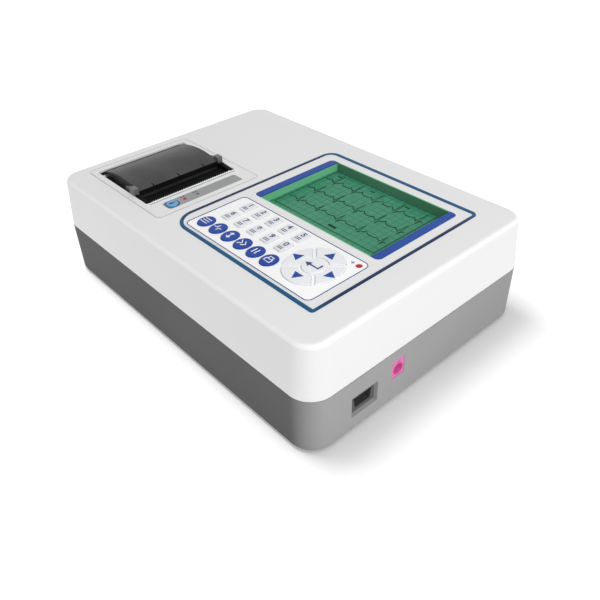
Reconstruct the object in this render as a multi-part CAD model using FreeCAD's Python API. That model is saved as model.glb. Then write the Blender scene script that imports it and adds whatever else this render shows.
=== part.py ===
import FreeCAD, Part
import math
import os

V = FreeCAD.Vector

# Case, millimetres. X runs left to right, Y front to back, Z up; the origin is under the middle of the base.
case_length = 310.0
case_depth = 222.0
foot_height = 2.0
lower_height = 44.0
upper_height = 41.0
plan_radius = 18.0
wall = 2.5
floor_thickness = 3.0
upper_draft = 5.0
top_edge_radius = 4.0
bottom_edge_radius = 2.0
parting_gap = 0.3
lip_height = 1.6
lip_thickness = 1.1
slip = 0.25
ledge_depth = 4.0
ledge_drop = 0.2
boss_inset = 15.0
boss_radius = 4.5
post_radius = 3.0
post_inset = 5.0

# Allowances: gap round a seated plate, bite of joined pieces, overrun of a cut, least corner radius.
seat_gap = 0.1
bite = 0.5
overrun = 1.0
least_radius = 0.3

# Feet and the one kind of screw.
foot_radius = 7.0
foot_seat = 1.4
foot_inset_x = 33.0
foot_inset_y = 11.0
foot_edge = 0.8
screw_radius = 1.5
screw_length = 12.0
screw_head_radius = 2.8
screw_head_height = 1.8
screw_depth = 8.0
screw_slip = 0.05
screw_relief = 2.0
cross_reach = 1.6
cross_width = 0.6
cross_depth = 0.9

# Top panel: frame bead, screen and keypad.
frame_left = -25.0
frame_right = 127.0
frame_front = -82.0
frame_back = 83.0
frame_width = 3.0
frame_side = 2.3
frame_height = 0.6
frame_seat = 0.6
frame_edge = 0.4
frame_radii = (18.0, 2.5, 5.0, 10.0)
screen_left = -6.0
screen_right = 110.0
screen_front = -12.0
screen_back = 71.0
screen_depth = 7.0
screen_bar = 7.0
screen_bar_thickness = 0.8
screen_corner = 4.0
surround_wall = 1.0
window_corner = 0.6
screen_glass = 2.8
glass_margin = 4.0
module_height = 8.0
module_margin = 5.0
module_corner = 1.5
module_board = 2.0
overlay_left = -15.0
overlay_right = 118.0
overlay_front = -77.0
overlay_back = -20.0
overlay_corner = 5.0
overlay_thickness = 1.2
overlay_proud = 0.2
overlay_margin = 2.4
overlay_hole_corner = 2.0

# Keys.
key_proud = 1.0
key_travel = 0.5
key_flange = 0.7
key_flange_thickness = 1.0
key_gap = 0.2
key_crown = 0.8
arrow_crown = 0.4
oval_pitch = 14.1
oval_first = (-4.0, -64.3)
oval_size = (12.0, 14.5)
digit_pitch = 14.7
digit_first = 1.6
digit_rows = (-30.0, -46.5)
digit_size = (8.4, 12.4)
digit_corner = 1.6
pad_centre = (92.2, -47.8)
pad_radii = (19.8, 22.6)
pad_inner = 10.4
pad_split = 2.6
enter_radius = 8.6
dome_radius = 3.2
dome_height = 0.8
dome_taper = 0.55
dome_gap = 0.2
board_thickness = 1.6
board_margin = 1.0
board_corner = 1.0
lamp_radius = 1.5
lamp_shoulder = 0.9
lamp_proud = 0.6
keypad_lamp = (112.2, -26.3)
keypad_lamp_radius = 2.3

# Printer.
bezel_left = -140.0
bezel_right = -33.0
bezel_front = -87.0
bezel_back = 8.5
bezel_corner = 4.0
bezel_thickness = 1.8
bezel_seat = 1.5
bezel_gap = 0.15
bezel_edge = 0.5
bezel_ledge = 3.0
bay_left = -134.0
bay_right = -57.0
bay_front = -82.0
bay_back = 2.0
bay_corner = 0.8
chassis_wall = 1.5
chassis_depth = 47.0
hinge_inset = 4.5
hinge_drop = 3.5
hinge_pin_radius = 1.5
knuckle_radius = 3.1
running = 0.05
pin_fit = 0.02
pin_short = 0.2
door_angle_reach = 50.0
door_tilt = 4.0
platen_radius = 5.5
platen_shaft_radius = 2.0
paper_gap = 0.3
paper_width = 63.0
paper_radius = 20.0
paper_core_radius = 6.0
paper_side_gap = 1.0
trough_gap = 0.8
roll_inset = 3.0
platen_room = 1.0
roller_gap = 0.4
guide_gap = 0.6
door_rise = 6.3
door_edge_rise = 3.0
door_skin = 2.0
door_end_gap = 4.5
door_back_gap = 4.0
door_heel = 1.5
door_lip = 0.5
door_crown_at = 0.58
door_rib = 1.8
door_notch = 1.0
door_notch_length = 4.0
door_notch_pitch = 24.0
lever_pivot_x = -90.0
lever_rod_radius = 1.5
lever_arm = 2.2
lever_gap = 0.4
lever_boss = ((-2.2, -1.8), (-2.2, 1.8), (4.0, 4.0), (4.0, 0.2), (2.2, -1.8))
lever_tab = ((-1.6, 4.2), (-0.8, 2.8), (-2.6, 1.4))
gear_module = 0.5
gear_width = 3.0
gear_side_gap = 0.9
gear_end_gap = 2.6
gear_room = 4
pressure_angle = 20.0
gear_root = 1.25
gear_tip = 0.9
gear_backlash = 0.2
gear_spread = 0.1
platen_teeth = 20
idler_teeth = 28
pinion_teeth = 14
motor_radius = 7.5
motor_length = 16.0
motor_shaft_radius = 1.0
motor_shaft_gap = 0.4
motor_plug = (8.0, 9.0, 5.0)
partition_lap = 2.0
partition_gap = 0.6
head_thickness = 3.5
head_up = 3.0
head_down = 3.4
head_shelf = 2.4
guide_drop = 2.5
cheek_gap = 0.2
cheek_rise = 1.6
cheek_drop = 0.4
cheek_end = 1.6
tear_inset = 0.4
tear_thickness = 0.8
tear_height = 3.0
tear_pitch = 2.0
tear_tooth = 0.8
strip_left = -50.0
strip_right = -38.0
strip_front = -73.5
strip_back = -4.0
strip_thickness = 0.5
strip_corner = 2.0
feed_centre = (-44.0, -67.6)
feed_radius = 4.6
feed_gap = 0.3
feed_flange = 1.1
feed_edge = 0.5
feed_proud = 0.9
feed_travel = 0.6
error_lamp = (-44.0, -56.0)
ready_lamp = (-44.0, -44.3)
feed_post_radius = 2.0
feed_post_steps = (12.0, 24.0)

# Sockets on the right side and at the rear.
socket_front = -75.0
socket_back = -51.0
socket_low = 13.4
socket_high = 30.6
socket_taper = 2.2
socket_frame = 5.0
socket_body = 14.0
socket_face = 2.2
socket_margin = 2.0
socket_rim = 4.0
plug_slant = 1.6
plug_size = (16.6, 8.6)
plug_depth = 6.0
jack_y = -31.5
jack_z = 28.7
jack_plate = (12.0, 14.6)
jack_plate_rise = 0.9
jack_seat = 1.0
jack_barrel = 5.4
jack_well = 3.8
jack_well_depth = 9.0
jack_gap = 0.15
jack_floor = 2.0
rear_pocket_left = -128.0
rear_pocket_width = 60.0
rear_pocket_height = 26.0
rear_pocket_low = 12.0
rear_pocket_depth = 6.0
inlet_size = (24.4, 17.0)
inlet_depth = 16.0
inlet_plate = 2.0
inlet_chamfer = 5.0
inlet_margin = 4.0
inlet_back = 4.0
module_rim = 2.6
blade_half = (1.0, 2.0)
blade_spots = ((-7.0, -2.0), (7.0, -2.0), (0.0, 2.0))
rocker_size = (12.0, 18.0)
rocker_tilt = 8.0
rocker_gap = 0.5
rocker_margin = 7.0
rocker_pit = 8.0
rocker_pivot_radius = 1.2
rocker_pivot_reach = 1.4
rocker_sink = 1.0
rocker_end_rise = 3.6
rocker_mid_rise = 2.4
rocker_keel = 4.5
earth_x = -48.0
earth_radius = 3.0
earth_pocket = 8.0
earth_sink = 3.0
earth_length = 8.0
earth_root = 4.5
earth_collar = 2.0
earth_collar_thickness = 1.5

# Inner blocks.
battery_left = -120.0
battery_front = -82.0
battery_size = (84.0, 54.0, 21.0)
battery_slack = 3.0
cover_ledge = 4.0
cover_corner = 2.0
cover_thickness = 1.8
hook_inset = 10.0
hook_width = 8.0
hook_thickness = 1.6
hook_reach = 2.0
bay_ring = 1.6
latch_width = 14.0
latch_thickness = 1.4
latch_height = 6.0
grip_count = 4
grip_inset = 8.0
grip_pitch = 4.0
grip_size = (1.5, 18.0, 0.6)
pack_corner = 5.0
pack_edge = 2.0
main_board_left = -20.0
main_board_front = -88.0
main_board_size = (146.0, 170.0)
main_board_height = 6.0
supply_left = -144.0
supply_size = (92.0, 62.0)
supply_front = 14.0

# Raised parts on the two inner boards: left, right, front, back from the board's corner, then height.
main_blocks = ((45, 75, 70, 100, 2.4), (90, 104, 76, 96, 1.8), (12, 40, 20, 32, 6.0),
               (112, 140, 40, 64, 5.0), (20, 34, 120, 150, 8.0))
main_cans = ((60, 140), (74, 140), (88, 140), (102, 140))
main_can_size = (5.0, 11.0)
supply_blocks = ((34, 66, 18, 46, 24.4), (74, 77, 8, 54, 20.4))
supply_can = (18, 40)
supply_can_size = (9.0, 18.4)

part_z = foot_height + lower_height
top_z = part_z + upper_height
floor_z = foot_height + floor_thickness
half_x = case_length / 2
half_y = case_depth / 2
lean = math.tan(math.radians(upper_draft))
bezel_top = top_z - bezel_seat + bezel_thickness
bezel_under = top_z - bezel_seat
overlay_top = top_z + overlay_proud
overlay_under = overlay_top - overlay_thickness
flange_top = overlay_under - seat_gap
flange_under = flange_top - key_flange_thickness
board_top = flange_under - key_travel - dome_gap - dome_height
feed_flange_top = bezel_under - seat_gap
feed_flange_under = feed_flange_top - key_flange_thickness
feed_board_top = feed_flange_under - feed_travel - dome_gap - dome_height
hinge_x = bay_left + hinge_inset
hinge_z = top_z - hinge_drop
tilt = math.radians(door_tilt)
platen_x = hinge_x + door_angle_reach * math.cos(tilt)
platen_z = hinge_z - door_angle_reach * math.sin(tilt)
swing = door_angle_reach + platen_radius
door_front = bay_front + door_end_gap
door_back = bay_back - door_back_gap
gear_back = bay_back - gear_end_gap
gear_front = gear_back - gear_width
rib_back = gear_front - gear_side_gap
rib_front = door_front + door_rib
paper_middle = (rib_front + rib_back - door_rib) / 2
idler_reach = gear_module * (platen_teeth + idler_teeth) / 2 + gear_spread
idler_x = platen_x - idler_reach * math.sin(tilt)
idler_z = platen_z - idler_reach * math.cos(tilt)
pinion_x = idler_x + gear_module * (idler_teeth + pinion_teeth) / 2 + gear_spread
pinion_z = idler_z
chassis_low = bezel_under - chassis_depth
roll_z = chassis_low + chassis_wall + paper_radius + trough_gap
roll_x = hinge_x + roll_inset + paper_radius
partition_front = rib_back - door_rib - partition_lap
partition_back = gear_front - partition_gap
rear_floor = half_y - rear_pocket_depth
rocker_y = rear_floor - rocker_sink
earth_floor = rear_floor - earth_sink


def box(x0, x1, y0, y1, z0, z1):
    return Part.makeBox(x1 - x0, y1 - y0, z1 - z0, V(x0, y0, z0))


def outline(x0, x1, y0, y1, z, radii):
    """Rounded rectangle; radii run front-left, front-right, back-right, back-left."""
    if not isinstance(radii, tuple):
        radii = (radii,) * 4
    corners = ((x0, y0, 180), (x1, y0, 270), (x1, y1, 0), (x0, y1, 90))
    inward = ((1, 1), (-1, 1), (-1, -1), (1, -1))
    stops = []
    for (cx, cy, start), (ix, iy), r in zip(corners, inward, radii):
        mid = V(cx + ix * r, cy + iy * r, z)
        spots = [mid + V(math.cos(math.radians(a)), math.sin(math.radians(a)), 0) * r
                 for a in (start, start + 45, start + 90)]
        stops.append((spots, r))
    edges = []
    for k, (spots, r) in enumerate(stops):
        if r > 0:
            edges.append(Part.Arc(*spots).toShape())
        following = stops[(k + 1) % 4][0][0]
        if spots[2].distanceToPoint(following) > 1e-6:
            edges.append(Part.makeLine(spots[2], following))
    return Part.Wire(edges)


def plate(x0, x1, y0, y1, z0, z1, radii=0.0):
    face = Part.Face(outline(x0, x1, y0, y1, z0, radii))
    return face.extrude(V(0, 0, z1 - z0))


def upright(x, y, z0, z1, r):
    return Part.makeCylinder(r, z1 - z0, V(x, y, z0))


def along_y(x, z, y0, y1, r):
    return Part.makeCylinder(r, y1 - y0, V(x, y0, z), V(0, 1, 0))


def along_x(y, z, x0, x1, r):
    return Part.makeCylinder(r, x1 - x0, V(x0, y, z), V(1, 0, 0))


def prism_y(points, y0, y1):
    """Solid with a closed X-Z outline, run from y0 to y1."""
    loop = [V(x, y0, z) for x, z in points]
    face = Part.Face(Part.makePolygon(loop + loop[:1]))
    return face.extrude(V(0, y1 - y0, 0))


def fuse_all(shapes):
    return shapes[0].multiFuse(shapes[1:]).removeSplitter()


def round_level(shape, z, r):
    """Rounds every edge that lies at one height."""
    edges = [e for e in shape.Edges
             if abs(e.BoundBox.ZMin - z) < 1e-4 and abs(e.BoundBox.ZMax - z) < 1e-4]
    return shape.makeFillet(r, edges)


def shell_outline(inset, z):
    r = max(plan_radius - inset, least_radius)
    return outline(-half_x + inset, half_x - inset, -half_y + inset, half_y - inset, z, r)


def boss_spots():
    return [(sx * (half_x - boss_inset), sy * (half_y - boss_inset)) for sx in (-1, 1) for sy in (-1, 1)]


def foot_spots():
    return [(sx * (half_x - foot_inset_x), sy * (half_y - foot_inset_y)) for sx in (-1, 1) for sy in (-1, 1)]


def lower_case():
    body = Part.Face(shell_outline(0, foot_height)).extrude(V(0, 0, lower_height))
    body = round_level(body, foot_height, bottom_edge_radius)
    body = body.cut(Part.Face(shell_outline(wall, floor_z)).extrude(V(0, 0, lower_height)))
    lip_out = wall + slip + lean * lip_height
    ledge = ring_between(wall - bite, lip_out + lip_thickness, part_z - ledge_depth, part_z - ledge_drop)
    lip = ring_between(lip_out, lip_out + lip_thickness, part_z - ledge_depth / 2, part_z + lip_height)
    bay = battery_bay()
    added = [body, ledge, lip, bay, socket_surround(), rear_surround(), earth_cup()]
    added += [upright(x, y, floor_z - bite, part_z, boss_radius) for x, y in boss_spots()]
    added += [upright(x, y, floor_z - bite, floor_z + main_board_height, post_radius)
              for x, y in board_posts() + supply_posts()]
    body = fuse_all(added)
    seat_z = part_z - (screw_length - screw_depth)
    cuts = [upright(x, y, foot_height - overrun, seat_z, screw_head_radius + slip) for x, y in boss_spots()]
    cuts += [upright(x, y, seat_z - overrun, part_z + overrun, screw_radius + slip) for x, y in boss_spots()]
    cuts += [upright(x, y, foot_height - overrun, foot_height + foot_seat, foot_radius)
             for x, y in foot_spots()]
    cuts += [battery_hole(), cover_blank(0.0), socket_funnel()]
    cuts += jack_cuts() + rear_cuts()
    return body.cut(Part.makeCompound(cuts)).removeSplitter()


def ring_between(outer_inset, inner_inset, z0, z1):
    outer = Part.Face(shell_outline(outer_inset, z0)).extrude(V(0, 0, z1 - z0))
    inner = Part.Face(shell_outline(inner_inset, z0)).extrude(V(0, 0, z1 - z0))
    return outer.cut(inner)


def battery_frame(grow, z0, z1):
    x1 = battery_left + battery_size[0]
    y1 = battery_front + battery_size[1]
    return plate(battery_left - grow, x1 + grow, battery_front - grow, y1 + grow, z0, z1, cover_corner)


def battery_hole():
    return battery_frame(battery_slack, foot_height - overrun, floor_z + overrun)


def battery_bay():
    inner = battery_slack + hook_reach + bite
    top = floor_z + battery_size[2] / 2
    ring = battery_frame(inner + bay_ring, floor_z - bite, top)
    return ring.cut(battery_frame(inner, floor_z - overrun, top + overrun))


def cover_blank(gap):
    return battery_frame(battery_slack + cover_ledge - gap, foot_height - (overrun if gap == 0 else 0),
                         foot_height + cover_thickness)


def battery_cover():
    cover = cover_blank(slip)
    low = foot_height + cover_thickness - bite
    hook_top = floor_z + hook_thickness
    x0 = battery_left - battery_slack + slip
    hooks = []
    for y in (battery_front + hook_inset, battery_front + battery_size[1] - hook_inset - hook_width):
        hooks.append(box(x0, x0 + hook_thickness, y, y + hook_width, low, hook_top))
        hooks.append(box(x0 - hook_reach, x0 + hook_thickness, y, y + hook_width, floor_z + slip, hook_top))
    x1 = battery_left + battery_size[0] + battery_slack - slip
    middle = battery_front + battery_size[1] / 2
    latch = box(x1 - latch_thickness, x1, middle - latch_width / 2, middle + latch_width / 2,
                low, floor_z + latch_height)
    wide, long, deep = grip_size
    grip = []
    for k in range(grip_count):
        x = battery_left + grip_inset + grip_pitch * k
        grip.append(box(x, x + wide, middle - long / 2, middle + long / 2,
                        foot_height - overrun, foot_height + deep))
    return fuse_all([cover, latch] + hooks).cut(Part.makeCompound(grip))


def battery_pack():
    x1 = battery_left + battery_size[0]
    y1 = battery_front + battery_size[1]
    z0 = foot_height + cover_thickness
    body = plate(battery_left, x1, battery_front, y1, z0, z0 + battery_size[2], pack_corner)
    return round_level(body, z0 + battery_size[2], pack_edge)


def rubber_feet():
    feet = []
    for x, y in foot_spots():
        foot = upright(x, y, 0, foot_height + foot_seat, foot_radius - running)
        feet.append(round_level(foot, 0, foot_edge))
    return Part.makeCompound(feet)


def case_screws():
    seat_z = part_z - (screw_length - screw_depth)
    screws = []
    for x, y in boss_spots():
        head = upright(x, y, seat_z - screw_head_height, seat_z, screw_head_radius)
        low = seat_z - screw_head_height
        thin = cross_width / 2
        cross = [box(x - dx, x + dx, y - dy, y + dy, low - overrun, low + cross_depth)
                 for dx, dy in ((cross_reach, thin), (thin, cross_reach))]
        shank = upright(x, y, seat_z - bite, seat_z + screw_length, screw_radius)
        screws.append(head.fuse(shank).cut(Part.makeCompound(cross)))
    return Part.makeCompound(screws)


def upper_case():
    low = part_z + parting_gap
    outer = Part.makeLoft([shell_outline(lean * parting_gap, low),
                           shell_outline(lean * upper_height, top_z)], True, True)
    outer = round_level(outer, top_z, top_edge_radius)
    under = top_z - wall
    inner = Part.makeLoft([shell_outline(wall + lean * parting_gap, low),
                           shell_outline(wall + lean * (under - part_z), under)], True, True)
    body = outer.cut(inner)
    pad = board_blank(board_top, under + bite)
    bosses = [upright(x, y, low, under + bite, boss_radius) for x, y in boss_spots()]
    body = fuse_all([body, pad] + bosses)
    margin = overlay_margin
    above = top_z + overrun
    below = board_top - overrun
    cuts = [upright(x, y, low - overrun, low + screw_depth + screw_relief, screw_radius + screw_slip)
            for x, y in boss_spots()]
    cuts.append(frame_ring(seat_gap, top_z - frame_seat, above))
    cuts.append(plate(overlay_left - seat_gap, overlay_right + seat_gap, overlay_front - seat_gap,
                      overlay_back + seat_gap, overlay_under, above, overlay_corner + seat_gap))
    cuts.append(plate(overlay_left + margin, overlay_right - margin, overlay_front + margin,
                      overlay_back - margin, below, above, overlay_hole_corner))
    cuts.append(screen_block(0.0, below, above))
    cuts.append(plate(bezel_left - bezel_gap, bezel_right + bezel_gap, bezel_front - bezel_gap,
                      bezel_back + bezel_gap, bezel_under, above, bezel_corner + bezel_gap))
    reach = chassis_wall + bite
    cuts.append(box(bay_left - reach, bezel_right - bezel_ledge, bay_front - reach, bay_back + reach,
                    below, above))
    return body.cut(Part.makeCompound(cuts)).removeSplitter()


def frame_ring(grow, z0, z1):
    inner_radii = tuple(max(r - frame_width - grow, least_radius) for r in frame_radii)
    outer_radii = tuple(r + grow for r in frame_radii)
    outer = plate(frame_left - grow, frame_right + grow, frame_front - grow, frame_back + grow,
                  z0, z1, outer_radii)
    far = frame_width + grow
    side = frame_side + grow
    inner = plate(frame_left + side, frame_right - side, frame_front + far, frame_back - far,
                  z0, z1, inner_radii)
    return outer.cut(inner)


def frame_trim():
    top = top_z + frame_height
    return round_level(frame_ring(0.0, top_z - frame_seat, top), top, frame_edge)


def screen_block(gap, z0, z1):
    return plate(screen_left - screen_bar + gap, screen_right + screen_bar - gap,
                 screen_front - surround_wall + gap, screen_back + surround_wall - gap, z0, z1, screen_corner)


def screen_surround():
    low = top_z - screen_depth
    above = top_z + overrun
    block = screen_block(seat_gap, low, top_z)
    window = plate(screen_left, screen_right, screen_front, screen_back, low - overrun, above, window_corner)
    seat = top_z - screen_bar_thickness
    y0 = screen_front - surround_wall - overrun
    y1 = screen_back + surround_wall + overrun
    left = box(screen_left - screen_bar - overrun, screen_left + overrun, y0, y1, seat, above)
    right = box(screen_right - overrun, screen_right + screen_bar + overrun, y0, y1, seat, above)
    return block.cut(Part.makeCompound([window, left, right]))


def screen_side_bars():
    seat = top_z - screen_bar_thickness
    r = screen_corner
    q = least_radius
    y0 = screen_front - surround_wall + seat_gap
    y1 = screen_back + surround_wall - seat_gap
    left = plate(screen_left - screen_bar + seat_gap, screen_left, y0, y1, seat, top_z, (r, q, q, r))
    right = plate(screen_right, screen_right + screen_bar - seat_gap, y0, y1, seat, top_z, (q, r, r, q))
    return Part.makeCompound([left, right])


def screen_panel():
    top = top_z - screen_depth
    m = glass_margin
    return box(screen_left - m, screen_right + m, screen_front - m, screen_back + m, top - screen_glass, top)


def screen_module():
    top = top_z - screen_depth - screen_glass
    low = top - module_height
    m = module_margin
    can = plate(screen_left - m, screen_right + m, screen_front - m, screen_back + m, low, top, module_corner)
    board = box(screen_left, screen_right, screen_front, screen_back, low - module_board, low)
    return can.fuse(board).removeSplitter()


def ellipse_prism(x, y, rx, ry, z0, z1):
    edge = Part.Ellipse(V(0, 0, 0), max(rx, ry), min(rx, ry)).toShape()
    if ry > rx:
        edge.rotate(V(0, 0, 0), V(0, 0, 1), 90)
    edge.translate(V(x, y, z0))
    return Part.Face(Part.Wire([edge])).extrude(V(0, 0, z1 - z0))


def oval_solid(spot, grow, z0, z1):
    return ellipse_prism(spot[0], spot[1], oval_size[0] / 2 + grow, oval_size[1] / 2 + grow, z0, z1)


def digit_solid(spot, grow, z0, z1):
    half_w = digit_size[0] / 2 + grow
    half_h = digit_size[1] / 2 + grow
    x, y = spot
    return plate(x - half_w, x + half_w, y - half_h, y + half_h, z0, z1, digit_corner + grow)


def enter_solid(spot, grow, z0, z1):
    return upright(spot[0], spot[1], z0, z1, enter_radius + grow)


def arrow_solid(turn, grow, z0, z1):
    """One quadrant of the arrow ring, on the side that the turn points to."""
    x, y = pad_centre
    ring = ellipse_prism(x, y, pad_radii[0] + grow, pad_radii[1] + grow, z0, z1)
    low, high = z0 - overrun, z1 + overrun
    ring = ring.cut(upright(x, y, low, high, pad_inner - grow))
    half_gap = pad_split / 2 - grow
    reach = pad_radii[0] + pad_radii[1]
    tip = half_gap * math.sqrt(2)
    corners = [V(tip, 0, low), V(reach, reach - tip, low), V(reach, tip - reach, low)]
    wedge = Part.Face(Part.makePolygon(corners + corners[:1])).extrude(V(0, 0, high - low))
    wedge.rotate(V(0, 0, 0), V(0, 0, 1), turn)
    wedge.translate(V(x, y, 0))
    return ring.common(wedge)


def key_table():
    """Every key as name, solid maker and its place."""
    keys = []
    for k in range(6):
        spot = (oval_first[0] + k * oval_pitch, oval_first[1])
        keys.append(("function_key_%d" % (k + 1), oval_solid, spot))
    for k in range(10):
        spot = (digit_first + (k % 5) * digit_pitch, digit_rows[k // 5])
        keys.append(("number_key_%d" % ((k + 1) % 10), digit_solid, spot))
    for name, turn in (("right", 0), ("up", 90), ("left", 180), ("down", 270)):
        keys.append(("arrow_key_" + name, arrow_solid, turn))
    keys.append(("enter_key", enter_solid, pad_centre))
    return keys


def key_solid(maker, spot):
    top = overlay_top + key_proud
    crown = arrow_crown if maker is arrow_solid else key_crown
    cap = round_level(maker(spot, 0.0, flange_top - bite, top), top, crown)
    return cap.fuse(maker(spot, key_flange, flange_under, flange_top)).removeSplitter()


def dome_spot(maker, spot):
    if maker is not arrow_solid:
        return spot
    reach = (pad_inner + (pad_radii[0] if spot in (0, 180) else pad_radii[1])) / 2
    angle = math.radians(spot)
    return (pad_centre[0] + reach * math.cos(angle), pad_centre[1] + reach * math.sin(angle))


def dome(spot, z):
    """Snap dome standing on a board, let a little into it."""
    x, y = spot
    base = upright(x, y, z - bite, z, dome_radius)
    return base.fuse(Part.makeCone(dome_radius, dome_radius * dome_taper, dome_height, V(x, y, z)))


def keypad_overlay():
    sheet = plate(overlay_left, overlay_right, overlay_front, overlay_back,
                  overlay_under, overlay_top, overlay_corner)
    low, high = overlay_under - overrun, overlay_top + overrun
    cuts = [maker(spot, key_gap, low, high) for name, maker, spot in key_table()]
    cuts.append(upright(keypad_lamp[0], keypad_lamp[1], low, high, keypad_lamp_radius + seat_gap))
    return sheet.cut(Part.makeCompound(cuts))


def board_blank(z0, z1):
    m = board_margin
    return plate(overlay_left + m, overlay_right - m, overlay_front + m, overlay_back - m,
                 z0, z1, board_corner)


def keypad_board():
    domes = [dome(dome_spot(maker, spot), board_top) for name, maker, spot in key_table()]
    return fuse_all([board_blank(board_top - board_thickness, board_top)] + domes)


def feed_posts():
    return [(ready_lamp[0], ready_lamp[1] + step) for step in feed_post_steps]


def feed_board():
    board = plate(strip_left, strip_right, strip_front, strip_back,
                  feed_board_top - board_thickness, feed_board_top, strip_corner)
    return fuse_all([board, dome(feed_centre, feed_board_top)])


def lamp(spot, top, foot, r):
    x, y = spot
    body = upright(x, y, foot, top - lamp_shoulder, r)
    ball = Part.makeSphere(r, V(x, y, top - r))
    lens = ball.common(upright(x, y, top - r, top, r))
    return body.fuse(lens).removeSplitter()


def red_lamps():
    return Part.makeCompound([lamp(error_lamp, bezel_top + lamp_proud, feed_board_top, lamp_radius),
                              lamp(keypad_lamp, overlay_top + lamp_proud, board_top, keypad_lamp_radius)])


def green_lamp():
    return lamp(ready_lamp, bezel_top + lamp_proud, feed_board_top, lamp_radius)


def printer_bezel():
    body = plate(bezel_left, bezel_right, bezel_front, bezel_back, bezel_under, bezel_top, bezel_corner)
    body = round_level(body, bezel_top, bezel_edge)
    body = fuse_all([body] + [upright(x, y, feed_board_top, bezel_under + bite, feed_post_radius)
                              for x, y in feed_posts()])
    cuts = [plate(bay_left, bay_right, bay_front, bay_back,
                  bezel_under - overrun, bezel_top + overrun, bay_corner)]
    cuts.append(strip_blank(0.0))
    return body.cut(Part.makeCompound(cuts + strip_holes()))


def strip_holes():
    low, high = bezel_under - overrun, bezel_top + overrun
    holes = [upright(feed_centre[0], feed_centre[1], low, high, feed_radius + feed_gap)]
    return holes + [upright(x, y, low, high, lamp_radius + seat_gap) for x, y in (error_lamp, ready_lamp)]


def strip_blank(gap):
    return plate(strip_left + gap, strip_right - gap, strip_front + gap, strip_back - gap,
                 bezel_top - strip_thickness, bezel_top + (overrun if gap == 0 else 0), strip_corner)


def status_strip():
    return strip_blank(seat_gap).cut(Part.makeCompound(strip_holes()))


def feed_button():
    x, y = feed_centre
    top = bezel_top + feed_proud
    cap = round_level(upright(x, y, feed_flange_top - bite, top, feed_radius), top, feed_edge)
    flange = upright(x, y, feed_flange_under, feed_flange_top, feed_radius + feed_flange)
    return cap.fuse(flange).removeSplitter()


def bin_ends():
    half = paper_width / 2 + paper_side_gap
    return paper_middle - half, paper_middle + half


def guide_start():
    return hinge_x + swing + guide_gap


def printer_chassis():
    w = chassis_wall
    body = box(bay_left - w, bay_right + w, bay_front - w, bay_back + w, chassis_low, bezel_under)
    cavity_low = platen_z - platen_radius - platen_room
    guide_top = top_z - guide_drop
    guide_under = guide_top - w
    front, back = bin_ends()
    trough = paper_radius + trough_gap
    inner_right = bay_right - w
    idler_room = gear_module * (idler_teeth + gear_room) / 2
    pinion_room = gear_module * (pinion_teeth + gear_room) / 2
    cuts = [box(bay_left, guide_start(), bay_front, bay_back, cavity_low, top_z)]
    cuts.append(box(bay_left, bay_right, bay_front, bay_back, guide_top, top_z))
    cuts.append(along_y(roll_x, roll_z, front, back, trough))
    cuts.append(box(roll_x - trough, roll_x + trough, front, back, roll_z, top_z))
    cuts.append(box(roll_x + trough + w, inner_right, bay_front + w, partition_front,
                    chassis_low - overrun, guide_under))
    cuts.append(box(idler_x - idler_room, pinion_x + pinion_room, partition_back, bay_back,
                    idler_z - idler_room, guide_under))
    cuts.append(along_y(pinion_x, pinion_z, partition_front - overrun, partition_back + overrun,
                        motor_shaft_radius + motor_shaft_gap))
    cuts.append(along_y(hinge_x, hinge_z, bay_front - w - overrun, bay_back + w + overrun,
                        hinge_pin_radius + pin_fit))
    body = body.cut(Part.makeCompound(cuts))
    stub = along_y(idler_x, idler_z, gear_front - least_radius, bay_back + w, hinge_pin_radius)
    start = guide_start() + cheek_gap
    end = bay_right - cheek_end
    slope = [(start, guide_under), (start, top_z + cheek_rise), (end, top_z - cheek_drop), (end, guide_under)]
    cheek = door_back_gap - lever_gap
    cheeks = [prism_y(slope, bay_front + cheek_gap, bay_front + cheek),
              prism_y(slope, bay_back - cheek, bay_back - cheek_gap)]
    return fuse_all([body, stub] + cheeks)


def door_curve():
    """Outer line of the door, from the hinge side over the crown to the paper slot."""
    left = hinge_x - door_heel
    edge_z = top_z + door_edge_rise
    edge_x = hinge_x + math.sqrt((swing - paper_gap) ** 2 - (edge_z - hinge_z) ** 2)
    crown_x = left + door_crown_at * (edge_x - left)
    return (left, top_z), (crown_x, top_z + door_rise), (edge_x, edge_z)


def curved_prism(upper, lower, y0, y1):
    """Solid under an arc through three X-Z points, closed by straight lines through the rest."""
    spots = [V(x, y0, z) for x, z in upper]
    edges = [Part.Arc(*spots).toShape()]
    path = [spots[2]] + [V(x, y0, z) for x, z in lower] + [spots[0]]
    edges += [Part.makeLine(a, b) for a, b in zip(path, path[1:])]
    return Part.Face(Part.Wire(edges)).extrude(V(0, y1 - y0, 0))


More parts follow.
